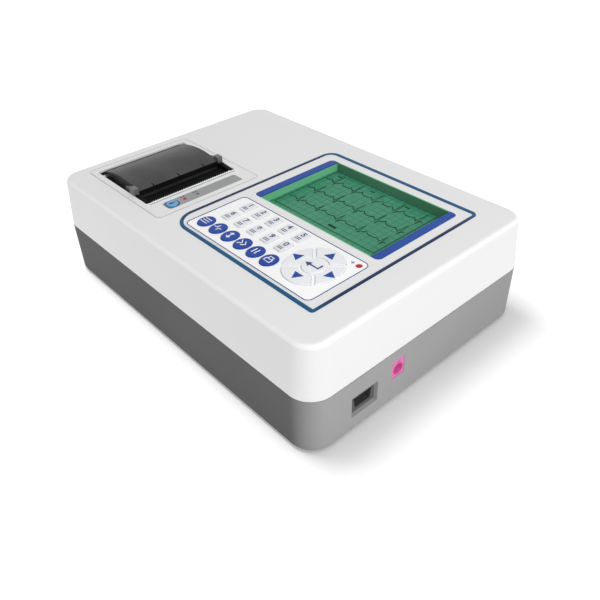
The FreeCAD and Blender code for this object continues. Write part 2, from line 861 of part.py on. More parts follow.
def printer_door():
    a, m, e = door_curve()
    lip = top_z - door_lip
    low = hinge_z - overrun
    y0, y1 = door_front - overrun, door_back + overrun
    filled = curved_prism((a, m, e), [(e[0], lip), (a[0], lip)], door_front, door_back)
    s = door_skin
    heel = a[0] + 2 * door_heel
    hollow = curved_prism(((heel, a[1] - pin_short), (m[0], m[1] - s), (e[0] - s, e[1] - s)),
                          [(e[0] - s, lip - overrun), (heel, lip - overrun)], y0, y1)
    skin = filled.cut(hollow)
    pieces = [skin, along_y(hinge_x, hinge_z, door_front, door_back, knuckle_radius)]
    for rib in (door_front, rib_back - door_rib):
        pieces.append(curved_prism((a, m, e), [(e[0] - guide_gap, low), (a[0] + door_heel, low)],
                                   rib, rib + door_rib))
        pieces.append(along_y(platen_x, platen_z, rib, rib + door_rib, platen_radius - platen_room))
    door = fuse_all(pieces)
    cuts = [along_y(hinge_x, hinge_z, y0, y1, hinge_pin_radius + running)]
    cuts.append(along_y(platen_x, platen_z, y0, y1, platen_shaft_radius + running))
    cuts.append(along_y(lever_pivot_x, top_z, y0, y1, lever_rod_radius + running))
    middle = (door_front + door_back) / 2
    for k in (-1, 0, 1):
        y = middle + k * door_notch_pitch
        cuts.append(box(e[0] - door_notch_length, e[0] + overrun, y - door_notch / 2, y + door_notch / 2,
                        lip - overrun, m[1] + overrun))
    return door.cut(Part.makeCompound(cuts))


def hinge_pin():
    reach = chassis_wall - pin_short
    return along_y(hinge_x, hinge_z, bay_front - reach, bay_back + reach, hinge_pin_radius)


def release_lever():
    x = lever_pivot_x
    z = top_z
    tip = door_curve()[2][0]
    arm = [(x + dx, z + dz) for dx, dz in lever_boss[:3]]
    arm += [(tip + dx, z + dz) for dx, dz in lever_tab]
    arm += [(x + dx, z + dz) for dx, dz in lever_boss[3:]]
    ends = (door_front - lever_gap - lever_arm, door_back + lever_gap)
    pieces = [along_y(x, z, ends[0], ends[1] + lever_arm, lever_rod_radius)]
    pieces += [prism_y(arm, y0, y0 + lever_arm) for y0 in ends]
    return fuse_all(pieces)


def platen_roller():
    y0 = rib_front + roller_gap
    y1 = rib_back - door_rib - roller_gap
    bore = along_y(platen_x, platen_z, y0 - overrun, y1 + overrun, platen_shaft_radius)
    return along_y(platen_x, platen_z, y0, y1, platen_radius).cut(bore)


def platen_shaft():
    return along_y(platen_x, platen_z, door_front - roller_gap, gear_back + roller_gap, platen_shaft_radius)


def involute(angle):
    return math.tan(angle) - angle


def spur_gear(x, z, teeth, tooth_angle):
    """Gear about Y with one tooth pointing along tooth_angle, measured from X towards Z."""
    pitch = gear_module * teeth / 2
    base = pitch * math.cos(math.radians(pressure_angle))
    root = pitch - gear_root * gear_module
    tip = pitch + gear_tip * gear_module
    half = math.pi / (2 * teeth) - gear_backlash / (4 * pitch)
    at_pitch = involute(math.radians(pressure_angle))
    flank = []
    for k in range(5):
        r = max(base, root) + (tip - max(base, root)) * k / 4
        flank.append((r, half + at_pitch - involute(math.acos(min(base / r, 1.0)))))
    flank.insert(0, (root, flank[0][1]))
    points = []
    for k in range(teeth):
        middle = tooth_angle + 2 * math.pi * k / teeth
        side = [(r, middle - a) for r, a in flank] + [(r, middle + a) for r, a in reversed(flank)]
        points += [(x + r * math.cos(t), z + r * math.sin(t)) for r, t in side]
    return prism_y(points, gear_front, gear_back)


def idler_tooth():
    return platen_tooth() + math.pi + math.pi / idler_teeth


def platen_tooth():
    return math.atan2(idler_z - platen_z, idler_x - platen_x)


def pinion_tooth():
    """The pinion's gap faces the idler's nearest tooth along the line of centres."""
    step = 2 * math.pi / idler_teeth
    ahead = (idler_tooth() + math.pi) % step - math.pi % step
    return math.pi - ahead * idler_teeth / pinion_teeth + math.pi / pinion_teeth


def platen_gear():
    gear = spur_gear(platen_x, platen_z, platen_teeth, platen_tooth())
    bore = along_y(platen_x, platen_z, gear_front - overrun, gear_back + overrun, platen_shaft_radius)
    return gear.cut(bore)


def idler_gear():
    gear = spur_gear(idler_x, idler_z, idler_teeth, idler_tooth())
    bore = along_y(idler_x, idler_z, gear_front - overrun, gear_back + overrun, hinge_pin_radius + running)
    return gear.cut(bore)


def motor_pinion():
    gear = spur_gear(pinion_x, pinion_z, pinion_teeth, pinion_tooth())
    shaft = along_y(pinion_x, pinion_z, partition_front + seat_gap, gear_back, motor_shaft_radius)
    return gear.fuse(shaft).removeSplitter()


def stepper_motor():
    y0 = partition_front - motor_length
    can = along_y(pinion_x, pinion_z, y0, partition_front, motor_radius)
    wide, long, tall = motor_plug
    high = pinion_z - motor_radius + wall
    plug = box(pinion_x - wide / 2, pinion_x + wide / 2, y0 + wall, y0 + wall + long, high - tall, high)
    return can.fuse(plug).removeSplitter()


def print_head():
    front, back = bin_ends()
    x0 = hinge_x + swing + paper_gap
    plate_part = box(x0, x0 + head_thickness, front, back, hinge_z - head_down, hinge_z + head_up)
    plate_part.rotate(V(hinge_x, 0, hinge_z), V(0, 1, 0), door_tilt)
    shelf_z = platen_z - bite
    shelf = box(x0 + head_thickness / 2, bay_right - chassis_wall, front, back, shelf_z, shelf_z + head_shelf)
    return plate_part.fuse(shelf).removeSplitter()


def tear_bar():
    x1 = bay_right - tear_inset
    x0 = x1 - tear_thickness
    low = top_z - guide_drop
    high = low + tear_height
    front, back = bay_front + door_end_gap, bay_back - door_end_gap
    bar = box(x0, x1, front, back, low, high)
    teeth = []
    for k in range(int((back - front) / tear_pitch)):
        y = front + (k + 0.5) * tear_pitch
        loop = [V(x0 - overrun, y, high - tear_tooth),
                V(x0 - overrun, y + tear_pitch / 2, high + seat_gap),
                V(x0 - overrun, y - tear_pitch / 2, high + seat_gap)]
        wedge = Part.Face(Part.makePolygon(loop + loop[:1]))
        teeth.append(wedge.extrude(V(tear_thickness + 2 * overrun, 0, 0)))
    return bar.cut(Part.makeCompound(teeth))


def paper_roll():
    half = paper_width / 2
    y0, y1 = paper_middle - half, paper_middle + half
    roll = along_y(roll_x, roll_z, y0, y1, paper_radius)
    return roll.cut(along_y(roll_x, roll_z, y0 - overrun, y1 + overrun, paper_core_radius))


def socket_surround():
    grow = socket_rim
    return box(half_x - socket_frame, half_x - wall + bite, socket_front - grow, socket_back + grow,
               socket_low - grow, socket_high + grow)


def side_rectangle(x, inset):
    y0, y1 = socket_front + inset, socket_back - inset
    z0, z1 = socket_low + inset, socket_high - inset
    return Part.makePolygon([V(x, y0, z0), V(x, y1, z0), V(x, y1, z1), V(x, y0, z1), V(x, y0, z0)])


def socket_funnel():
    past = socket_taper / socket_frame * overrun
    return Part.makeLoft([side_rectangle(half_x + overrun, -past),
                          side_rectangle(half_x - socket_frame - overrun, socket_taper + past)], True, True)


def patient_socket():
    x1 = half_x - socket_frame
    m = socket_margin
    body = box(x1 - socket_body, x1, socket_front - m, socket_back + m, socket_low - m, socket_high + m)
    y = (socket_front + socket_back) / 2
    z = (socket_low + socket_high) / 2
    wide, tall = plug_size[0] / 2, plug_size[1] / 2
    x0 = x1 - plug_depth
    loop = [V(x0, y - wide, z + tall), V(x0, y + wide, z + tall),
            V(x0, y + wide - plug_slant, z - tall), V(x0, y - wide + plug_slant, z - tall)]
    pocket = Part.Face(Part.makePolygon(loop + loop[:1])).extrude(V(half_x + overrun - x0, 0, 0))
    slant = socket_taper / socket_frame
    nose = Part.makeLoft([side_rectangle(x1 - bite, socket_taper + slant * bite + slip),
                          side_rectangle(half_x - socket_face, slant * socket_face + slip)], True, True)
    return body.fuse(nose).removeSplitter().cut(pocket)


def jack_blank(gap, x0, x1):
    half_w = jack_plate[0] / 2 - gap
    half_h = jack_plate[1] / 2 - gap
    z = jack_z + jack_plate_rise
    return box(x0, x1, jack_y - half_w, jack_y + half_w, z - half_h, z + half_h)


def jack_cuts():
    return [jack_blank(0.0, half_x - jack_seat, half_x + overrun),
            along_x(jack_y, jack_z, half_x - wall - overrun, half_x + overrun, jack_barrel + slip)]


def jack_socket():
    face = half_x - seat_gap
    floor = face - jack_well_depth
    body = jack_blank(jack_gap, half_x - jack_seat, face)
    body = body.fuse(along_x(jack_y, jack_z, floor - jack_floor, face, jack_barrel))
    return body.cut(along_x(jack_y, jack_z, floor, face + overrun, jack_well)).removeSplitter()


def rear_span():
    x0 = rear_pocket_left
    z0 = rear_pocket_low
    return x0, x0 + rear_pocket_width, z0, z0 + rear_pocket_height


def rear_surround():
    x0, x1, z0, z1 = rear_span()
    return box(x0 - wall, x1 + wall, rear_floor - wall, half_y - bite, z0 - wall, z1 + wall)


def module_body(gap):
    x0, x1, z0, z1 = rear_span()
    m = module_rim - gap
    return box(x0 + m, x1 - m, rear_floor - inlet_depth - inlet_back, rear_floor, z0 + m, z1 - m)


def rear_middle():
    x0, x1, z0, z1 = rear_span()
    return (x0 + inlet_margin + inlet_size[0] / 2, x1 - rocker_margin - rocker_size[0] / 2, (z0 + z1) / 2)


def rear_cuts():
    x0, x1, z0, z1 = rear_span()
    z = rear_middle()[2]
    return [box(x0, x1, rear_floor, half_y + overrun, z0, z1), module_body(slip),
            along_y(earth_x, z, earth_floor, half_y + overrun, earth_pocket),
            along_y(earth_x, z, earth_floor - wall - overrun, half_y, earth_radius + slip)]


def earth_cup():
    return along_y(earth_x, rear_middle()[2], earth_floor - wall, half_y - bite, earth_pocket + wall)


def mains_inlet():
    x0, x1, z0, z1 = rear_span()
    inlet_x, rocker_x, z = rear_middle()
    front = rear_floor + inlet_plate
    body = module_body(0.0).fuse(box(x0 + slip, x1 - slip, rear_floor, front, z0 + slip, z1 - slip))
    wide, tall = inlet_size[0] / 2, inlet_size[1] / 2
    c = inlet_chamfer
    loop = [V(inlet_x + dx, front + overrun, z + dz) for dx, dz in
            ((-wide, -tall), (wide, -tall), (wide, tall - c), (wide - c, tall),
             (c - wide, tall), (-wide, tall - c))]
    cavity = Part.Face(Part.makePolygon(loop + loop[:1])).extrude(V(0, -inlet_depth - overrun, 0))
    half_w = rocker_size[0] / 2 + rocker_gap
    half_h = rocker_size[1] / 2 + rocker_gap
    window = box(rocker_x - half_w, rocker_x + half_w, rear_floor - rocker_pit, front + overrun,
                 z - half_h, z + half_h)
    reach = half_w + rocker_pivot_reach - pin_short
    pivot = along_x(rocker_y, z, rocker_x - reach, rocker_x + reach, rocker_pivot_radius + running)
    body = body.cut(Part.makeCompound([cavity, window, pivot]))
    bx, bz = blade_half
    blades = [box(inlet_x + dx - bx, inlet_x + dx + bx, front - inlet_depth - overrun, front - inlet_back,
                  z + dz - bz, z + dz + bz) for dx, dz in blade_spots]
    return fuse_all([body] + blades)


def power_switch():
    rocker_x, z = rear_middle()[1:]
    half_w = rocker_size[0] / 2
    half_h = rocker_size[1] / 2 - pin_short
    end, mid, keel = rocker_end_rise, rocker_mid_rise, rocker_keel
    loop = [V(rocker_x - half_w, rocker_y + dy, z + dz) for dy, dz in
            ((rocker_sink, -half_h), (end, -half_h), (mid, 0), (end, half_h), (rocker_sink, half_h),
             (-keel, keel), (-keel, -keel))]
    body = Part.Face(Part.makePolygon(loop + loop[:1])).extrude(V(rocker_size[0], 0, 0))
    reach = half_w + rocker_pivot_reach
    pivot = along_x(rocker_y, z, rocker_x - reach, rocker_x + reach, rocker_pivot_radius)
    body = body.fuse(pivot).removeSplitter()
    body.rotate(V(rocker_x, rocker_y, z), V(1, 0, 0), -rocker_tilt)
    return body


def earth_post():
    z = rear_middle()[2]
    post = along_y(earth_x, z, earth_floor - earth_root, earth_floor + earth_length, earth_radius)
    collar = along_y(earth_x, z, earth_floor, earth_floor + earth_collar_thickness,
                     earth_radius + earth_collar)
    return post.fuse(collar).removeSplitter()


def corners_of(x0, y0, size, inset):
    return [(x, y) for x in (x0 + inset, x0 + size[0] - inset) for y in (y0 + inset, y0 + size[1] - inset)]


def board_posts():
    return corners_of(main_board_left, main_board_front, main_board_size, post_inset)


def supply_posts():
    return corners_of(supply_left, supply_front, supply_size, post_inset)


def loaded_board(x0, y0, size, blocks, cans, can_size):
    """Board on its posts with boxes and round cans standing on it."""
    low = floor_z + main_board_height
    top = low + board_thickness
    pieces = [box(x0, x0 + size[0], y0, y0 + size[1], low, top)]
    pieces += [box(x0 + a, x0 + b, y0 + c, y0 + d, top - bite, top + tall) for a, b, c, d, tall in blocks]
    pieces += [upright(x0 + x, y0 + y, top - bite, top + can_size[1], can_size[0]) for x, y in cans]
    return fuse_all(pieces)


def main_board():
    return loaded_board(main_board_left, main_board_front, main_board_size,
                        main_blocks, main_cans, main_can_size)


def power_supply():
    return loaded_board(supply_left, supply_front, supply_size, supply_blocks, (supply_can,), supply_can_size)


nodes = {
    "lower_case": lower_case, "upper_case": upper_case, "frame_trim": frame_trim,
    "screen_surround": screen_surround, "screen_side_bars": screen_side_bars, "screen_panel": screen_panel,
    "screen_module": screen_module, "keypad_overlay": keypad_overlay, "keypad_board": keypad_board,
    "feed_board": feed_board, "red_lamps": red_lamps, "green_lamp": green_lamp, "main_board": main_board,
    "power_supply": power_supply, "battery_pack": battery_pack, "battery_cover": battery_cover,
    "rubber_feet": rubber_feet, "case_screws": case_screws, "printer_bezel": printer_bezel,
    "status_strip": status_strip, "feed_button": feed_button, "printer_chassis": printer_chassis,
    "printer_door": printer_door, "hinge_pin": hinge_pin, "release_lever": release_lever,
    "platen_roller": platen_roller, "platen_shaft": platen_shaft, "platen_gear": platen_gear,
    "idler_gear": idler_gear, "motor_pinion": motor_pinion, "stepper_motor": stepper_motor,
    "print_head": print_head, "tear_bar": tear_bar, "paper_roll": paper_roll,
    "patient_socket": patient_socket, "jack_socket": jack_socket, "mains_inlet": mains_inlet,
    "power_switch": power_switch, "earth_post": earth_post,
}
os.makedirs("parts", exist_ok=True)
for name, maker in nodes.items():
    maker().exportStep("parts/%s.step" % name)
for name, maker, spot in key_table():
    key_solid(maker, spot).exportStep("parts/%s.step" % name)
print("hinge", hinge_x, hinge_z, "platen", platen_x, platen_z, "idler", idler_x, idler_z)
print("pinion", pinion_x, pinion_z, "roll", roll_x, roll_z, "lever", lever_pivot_x, top_z)
print("rocker", rear_middle(), rocker_y)
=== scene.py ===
import math

import bpy
from mathutils import Matrix, Vector


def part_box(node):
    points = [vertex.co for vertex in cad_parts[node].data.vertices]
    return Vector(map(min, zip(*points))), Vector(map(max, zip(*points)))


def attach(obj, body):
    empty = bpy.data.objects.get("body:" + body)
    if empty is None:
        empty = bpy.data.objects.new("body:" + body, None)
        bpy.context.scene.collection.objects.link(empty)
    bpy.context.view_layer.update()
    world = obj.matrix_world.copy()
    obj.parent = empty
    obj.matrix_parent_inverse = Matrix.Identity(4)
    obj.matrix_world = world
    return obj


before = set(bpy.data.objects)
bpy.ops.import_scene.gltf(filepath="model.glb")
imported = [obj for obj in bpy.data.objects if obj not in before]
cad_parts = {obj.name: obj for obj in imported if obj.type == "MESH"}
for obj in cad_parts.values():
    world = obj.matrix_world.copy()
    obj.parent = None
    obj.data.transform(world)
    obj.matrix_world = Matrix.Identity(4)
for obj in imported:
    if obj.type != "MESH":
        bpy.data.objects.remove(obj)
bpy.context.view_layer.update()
mm = 0.001  # the frame is in metres, the sizes below are in millimetres


def tone(hexText):  # sRGB hex to linear colour
    parts = [int(hexText[i:i + 2], 16) / 255 for i in (1, 3, 5)]
    return [c / 12.92 if c <= 0.04045 else ((c + 0.055) / 1.055) ** 2.4 for c in parts] + [1.0]


def addNode(mat, kind, settings=None, **links):
    node = mat.node_tree.nodes.new(kind)
    for key, value in (settings or {}).items():
        if key in node.inputs:
            node.inputs[key].default_value = value
        else:
            setattr(node, key, value)
    for key, source in links.items():
        mat.node_tree.links.new(source, node.inputs[key.replace("_", " ")])
    return node


def basePaint(mat, colour):
    mat.node_tree.links.new(colour, mat.node_tree.nodes["Principled BSDF"].inputs["Base Color"])


# what every finish shares: grain gives gloss and bump, cloud drifts from the low to the high colour
# real spark, brush and paper grain is finer than the sizes below: they are as coarse as they need to show
finish = {"grainDetail": 4.0, "cloudDetail": 2.0, "cloudMm": 60, "rampEnds": (0.3, 0.7),
          "wear": (-0.04, 0.06), "bumpMm": 0.1, "shine": 0.5}


def surface(name, look):
    mat = bpy.data.materials.new(name)
    mat.use_nodes = True
    shader = mat.node_tree.nodes["Principled BSDF"]
    join = mat.node_tree.links.new
    place = addNode(mat, "ShaderNodeTexCoord", {"name": "place"})
    spread = addNode(mat, "ShaderNodeMapping", {"Scale": look.get("stretch", (1, 1, 1))},
                     Vector=place.outputs["Object"])
    grain = addNode(mat, "ShaderNodeTexNoise", {
        "name": "grain", "Scale": 1 / (look["grainMm"] * mm), "Detail": finish["grainDetail"]},
        Vector=spread.outputs["Vector"])
    cloud = addNode(mat, "ShaderNodeTexNoise", {
        "name": "cloud", "Scale": 1 / (look.get("cloudMm", finish["cloudMm"]) * mm),
        "Detail": finish["cloudDetail"]}, Vector=place.outputs["Object"])
    shade = addNode(mat, "ShaderNodeValToRGB", {"name": "shade"}, Fac=cloud.outputs["Fac"])
    for stop, spot, colour in zip(shade.color_ramp.elements, finish["rampEnds"], ("low", "high")):
        stop.position = spot
        stop.color = tone(look[colour])
    basePaint(mat, shade.outputs["Color"])
    glossiest, dullest = [look["rough"] + change for change in finish["wear"]]
    wear = addNode(mat, "ShaderNodeMapRange", {"To Min": glossiest, "To Max": dullest},
                   Value=grain.outputs["Fac"])
    join(wear.outputs["Result"], shader.inputs["Roughness"])
    bump = addNode(mat, "ShaderNodeBump", {"Strength": look["bump"], "Distance": finish["bumpMm"] * mm},
                   Height=grain.outputs["Fac"])
    join(bump.outputs["Normal"], shader.inputs["Normal"])
    shader.inputs["Metallic"].default_value = look.get("metal", 0.0)
    shader.inputs["Specular IOR Level"].default_value = look.get("shine", finish["shine"])
    if "glow" in look:
        join(shade.outputs["Color"], shader.inputs["Emission Color"])
        shader.inputs["Emission Strength"].default_value = look["glow"]
    return mat


looks = {}
# top shell: a fine even grain with a soft sheen
looks["whiteCase"] = surface("spark-textured white ABS", {
    "low": "#e8e8e9", "high": "#ececec", "grainMm": 0.5, "bump": 0.12, "rough": 0.42, "cloudMm": 120})
# base shell: the same grain, flatter and darker
looks["greyCase"] = surface("spark-textured grey ABS", {
    "low": "#4e4e4e", "high": "#545454", "grainMm": 0.5, "bump": 0.12, "rough": 0.55, "shine": 0.12,
    "cloudMm": 120})
# frame line: smooth and deep, the side runs painted darker than the front and back runs as painted shade and
# reflection
looks["trimBlue"] = surface("glossy blue acrylic bead", {
    "low": "#14284f", "high": "#0a5480", "grainMm": 2, "bump": 0.02, "rough": 0.35, "shine": 0.15})
# each side of the window: flat printed colour
looks["barBlue"] = surface("printed blue window film", {
    "low": "#1e479a", "high": "#264fa2", "grainMm": 0.8, "bump": 0.03, "rough": 0.4, "shine": 0.15})
# recess walls: satin, lighter than the display
looks["surround"] = surface("satin green surround", {
    "low": "#6ebb8e", "high": "#78c598", "grainMm": 0.8, "bump": 0.04, "rough": 0.5, "shine": 0.2})
# keypad overlay: the smoothest and whitest face
looks["panelWhite"] = surface("smooth white polyester film", {
    "low": "#fafafb", "high": "#ffffff", "grainMm": 0.9, "bump": 0.03, "rough": 0.35})
# function keys: soft rubber, slight bloom
looks["keyBlue"] = surface("silicone key, blue", {
    "low": "#1a4096", "high": "#224aa2", "grainMm": 0.6, "bump": 0.08, "rough": 0.45, "shine": 0.2})
# arrow and enter keys: soft rubber
looks["keyGrey"] = surface("silicone key, pale grey", {
    "low": "#e9ebee", "high": "#f0f1f4", "grainMm": 0.6, "bump": 0.08, "rough": 0.4})
# number keys: the same rubber, a shade darker
looks["keyTile"] = surface("silicone key, light grey", {
    "low": "#e0e2e5", "high": "#e8e9ec", "grainMm": 0.6, "bump": 0.08, "rough": 0.4})
# gap round the bezel: a soft grey line of painted shade in the joint
looks["grooveShadeGrey"] = surface("shaded joint line", {
    "low": "#b4b5b6", "high": "#bebfc0", "grainMm": 0.5, "bump": 0.05, "rough": 0.6, "shine": 0.1})
# printer bezel: grained like the shell, a shade greyer
looks["bezel"] = surface("spark-textured light grey ABS", {
    "low": "#e3e3e4", "high": "#e8e8e8", "grainMm": 0.5, "bump": 0.12, "rough": 0.45})
# lamp strip: flat print with a faint cloud
looks["strip"] = surface("printed grey polyester film", {
    "low": "#8c8d8e", "high": "#9a9b9c", "grainMm": 0.9, "bump": 0.03, "rough": 0.4, "cloudMm": 40})
# paper feed: brighter rubber
looks["feedBlue"] = surface("silicone key, light blue", {
    "low": "#4790c6", "high": "#6aaede", "grainMm": 0.6, "bump": 0.06, "rough": 0.35})
# paper door: dark satin with cloudy depth
looks["smoke"] = surface("smoked ABS", {
    "low": "#353536", "high": "#464647", "grainMm": 0.7, "bump": 0.08, "rough": 0.42, "shine": 0.2,
    "cloudMm": 25})
# door lever: waxy dull grey
looks["leverGrey"] = surface("moulded acetal, dark grey", {
    "low": "#5b5c5d", "high": "#666768", "grainMm": 0.6, "bump": 0.08, "rough": 0.4})
# chassis: swallows the light
looks["black"] = surface("moulded black ABS", {
    "low": "#08090a", "high": "#0e0f10", "grainMm": 0.6, "bump": 0.1, "rough": 0.55, "shine": 0.06})
# cable socket and rocker: charcoal, a little lighter than the chassis
looks["socket"] = surface("moulded charcoal nylon", {
    "low": "#242425", "high": "#2c2c2d", "grainMm": 0.6, "bump": 0.08, "rough": 0.55, "shine": 0.1})
# feet and platen: matt with a ground tooth
looks["rubber"] = surface("nitrile rubber", {
    "low": "#1b1b1b", "high": "#262626", "grainMm": 0.4, "bump": 0.25, "rough": 0.75, "shine": 0.3})
# pins and screws: brushed along the length
looks["steel"] = surface("ground steel", {
    "low": "#b4b6b8", "high": "#c9cbcc", "grainMm": 0.3, "stretch": (1, 0.05, 1), "bump": 0.1, "rough": 0.3,
    "metal": 1.0})
# cans and print head: spangled and dull
looks["zinc"] = surface("drawn zinc sheet", {
    "low": "#a9abad", "high": "#c2c4c6", "grainMm": 0.6, "bump": 0.08, "rough": 0.42, "metal": 1.0,
    "cloudMm": 8})
# gears: waxy black
looks["gear"] = surface("moulded black acetal", {
    "low": "#101112", "high": "#191a1b", "grainMm": 0.6, "bump": 0.05, "rough": 0.4})
# circuit boards: green with mottled copper under it
looks["board"] = surface("solder resist on glass epoxy", {
    "low": "#14532d", "high": "#1c6a3b", "grainMm": 0.5, "bump": 0.1, "rough": 0.35, "cloudMm": 6})
# battery pack: tight shiny film with ripples
looks["wrap"] = surface("heat-shrunk blue PVC", {
    "low": "#1d3f83", "high": "#274f9a", "grainMm": 1.5, "bump": 0.15, "rough": 0.3})
# roll: matt, wound layers show as fine lines
looks["paper"] = surface("thermal paper", {
    "low": "#f1f0ec", "high": "#f8f7f4", "grainMm": 0.2, "stretch": (1, 0.1, 1), "bump": 0.2, "rough": 0.8})
# lamps: milky lens with a weak glow
looks["lampRed"] = surface("diffused red lens", {
    "low": "#b3102a", "high": "#c61c36", "grainMm": 0.4, "bump": 0.03, "rough": 0.3, "shine": 0.2,
    "glow": 0.03, "cloudMm": 2})
# lamp: milky lens, hardly lit
looks["lampGreen"] = surface("diffused green lens", {
    "low": "#2a6f4c", "high": "#37845d", "grainMm": 0.4, "bump": 0.03, "rough": 0.2, "glow": 0.05,
    "cloudMm": 2})
# jack plate: satin
looks["pink"] = surface("moulded pink nylon", {
    "low": "#d8569f", "high": "#e46cb0", "grainMm": 0.5, "bump": 0.08, "rough": 0.4})
# earth post, pinion and inlet blades: pale metal
looks["brass"] = surface("nickel-plated brass", {
    "low": "#c2b48a", "high": "#d6caa3", "grainMm": 0.4, "bump": 0.06, "rough": 0.25, "metal": 1.0})
# printing: thin dull ink
looks["navyInk"] = surface("navy screen-print ink", {
    "low": "#1f2f6d", "high": "#26387c", "grainMm": 0.5, "bump": 0.04, "rough": 0.45})
# marks on blue keys: thin dull ink
looks["whiteInk"] = surface("white screen-print ink", {
    "low": "#eef1f8", "high": "#f8faff", "grainMm": 0.5, "bump": 0.04, "rough": 0.45})
# display lines: dark on green
looks["blackInk"] = surface("black display segments", {
    "low": "#07120d", "high": "#0c1a14", "grainMm": 0.5, "bump": 0.02, "rough": 0.6, "shine": 0.1})
# back wall of the window: matt dark green, painted shade of the recess's back wall
looks["paintedShadeGreen"] = surface("matt dark green painted shade", {
    "low": "#4c8266", "high": "#558b6e", "grainMm": 0.8, "bump": 0.03, "rough": 0.6, "shine": 0.1})
# jack mouth: satin, deeper than the plate
looks["magenta"] = surface("magenta nylon", {
    "low": "#b81f7c", "high": "#c62c8a", "grainMm": 0.5, "bump": 0.08, "rough": 0.4})
# socket pins: bright warm metal
looks["gold"] = surface("gold-plated contacts", {
    "low": "#c9a24a", "high": "#dbb662", "grainMm": 0.3, "bump": 0.05, "rough": 0.25, "metal": 1.0})
# display: flat green, with the fine grid drawn on it below
looks["glass"] = surface("green display under glass", {
    "low": "#3d8b6b", "high": "#479674", "grainMm": 1, "bump": 0.01, "rough": 0.4, "shine": 0.15})
print("materials", len(looks))

# grid printed on the display
grid = {"cellMm": 6.0, "mortar": 0.045, "line": "#2c6b50", "cell": "#3d8b6b"}
glass = looks["glass"]
squares = addNode(glass, "ShaderNodeTexBrick", {
    "offset": 0.0, "squash": 1.0, "Brick Width": 1.0, "Row Height": 1.0, "Scale": 1 / (grid["cellMm"] * mm),
    "Mortar Size": grid["mortar"], "Mortar": tone(grid["line"]), "Color2": tone(grid["cell"])},
    Vector=glass.node_tree.nodes["place"].outputs["Object"],
    Color1=glass.node_tree.nodes["shade"].outputs["Color"])
basePaint(glass, squares.outputs["Color"])

# the bead turns from dark side runs to blue front and back runs between two distances from its back edge; the
# dark side runs are painted shade and reflection
bead = {"fromMm": 17.0, "toMm": 2.5, "fleck": 0.08}
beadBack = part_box("frame_trim")[1][1]
trim = looks["trimBlue"]
split = addNode(trim, "ShaderNodeSeparateXYZ", Vector=trim.node_tree.nodes["place"].outputs["Object"])
far = addNode(trim, "ShaderNodeMath", {"operation": "ABSOLUTE"}, Value=split.outputs["Y"])
paintedRunShade = addNode(trim, "ShaderNodeMapRange", {
    "From Min": beadBack - bead["fromMm"] * mm, "From Max": beadBack - bead["toMm"] * mm},
    Value=far.outputs["Value"])
fleck = addNode(trim, "ShaderNodeMath", {"operation": "MULTIPLY_ADD"},
                Value=trim.node_tree.nodes["grain"].outputs["Fac"])
fleck.inputs[1].default_value = bead["fleck"]
trim.node_tree.links.new(paintedRunShade.outputs["Result"], fleck.inputs[2])
run = trim.node_tree.nodes["shade"]
run.color_ramp.elements[0].position = 0.0
run.color_ramp.elements[1].position = 1.0
trim.node_tree.links.new(fleck.outputs["Value"], run.inputs["Fac"])
trim.node_tree.nodes.remove(trim.node_tree.nodes["cloud"])

# the front face of the door is a black lip
doorLip = {"deepMm": 0.5, "fadeMm": 0.2, "dark": "#0b0b0c"}
smoked = looks["smoke"]
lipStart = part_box("printer_door")[1][0] - doorLip["deepMm"] * mm
along = addNode(smoked, "ShaderNodeSeparateXYZ", Vector=smoked.node_tree.nodes["place"].outputs["Object"])
front = addNode(smoked, "ShaderNodeMapRange", {
    "From Min": lipStart, "From Max": lipStart + doorLip["fadeMm"] * mm}, Value=along.outputs["X"])
lipTone = addNode(smoked, "ShaderNodeMixRGB", {"Color2": tone(doorLip["dark"])},
                  Fac=front.outputs["Result"], Color1=smoked.node_tree.nodes["shade"].outputs["Color"])
basePaint(smoked, lipTone.outputs["Color"])

# the moulded radius is painted lighter than the upright faces and the level top, a painted highlight along
# the edge: the normal's Z tells them apart
radius = {"stops": ((0.2, "#e9e9ea"), (0.5, "#f6f6f6"), (0.85, "#f6f6f6"), (0.985, "#eaeaea")),
          "cloud": 0.12}
shell = looks["whiteCase"]
facing = addNode(shell, "ShaderNodeSeparateXYZ",
                 Vector=addNode(shell, "ShaderNodeNewGeometry").outputs["Normal"])
curve = addNode(shell, "ShaderNodeValToRGB", Fac=facing.outputs["Z"])
for spot, colour in radius["stops"][1:-1]:
    curve.color_ramp.elements.new(spot)
for stop, (spot, colour) in zip(curve.color_ramp.elements, radius["stops"]):
    stop.position = spot
    stop.color = tone(colour)
radiusHighlight = addNode(shell, "ShaderNodeMixRGB", {"blend_type": "MULTIPLY", "Fac": radius["cloud"]},
               Color1=curve.outputs["Color"], Color2=shell.node_tree.nodes["shade"].outputs["Color"])
basePaint(shell, radiusHighlight.outputs["Color"])

nodeLooks = {
    "upper_case": "whiteCase", "lower_case": "greyCase", "battery_cover": "greyCase",
    "frame_trim": "trimBlue",
    "screen_side_bars": "barBlue", "screen_surround": "surround", "screen_panel": "glass",
    "keypad_overlay": "panelWhite", "printer_bezel": "bezel", "status_strip": "strip",
    "feed_button": "feedBlue", "printer_door": "smoke", "release_lever": "leverGrey",
    "printer_chassis": "black", "patient_socket": "socket", "mains_inlet": "black", "power_switch": "socket",
    "rubber_feet": "rubber", "platen_roller": "rubber", "hinge_pin": "steel", "platen_shaft": "steel",
    "case_screws": "steel", "tear_bar": "steel", "screen_module": "zinc", "stepper_motor": "zinc",
    "print_head": "zinc", "platen_gear": "gear", "idler_gear": "gear", "motor_pinion": "brass",
    "earth_post": "brass", "keypad_board": "board", "feed_board": "board", "main_board": "board",
    "power_supply": "board", "battery_pack": "wrap", "paper_roll": "paper", "red_lamps": "lampRed",
    "green_lamp": "lampGreen", "jack_socket": "pink",
}
keyLooks = {"function": "keyBlue", "number": "keyTile", "arrow": "keyGrey", "enter": "keyGrey"}


def dress(thing, look):
    thing.data.materials.clear()
    thing.data.materials.append(looks[look])


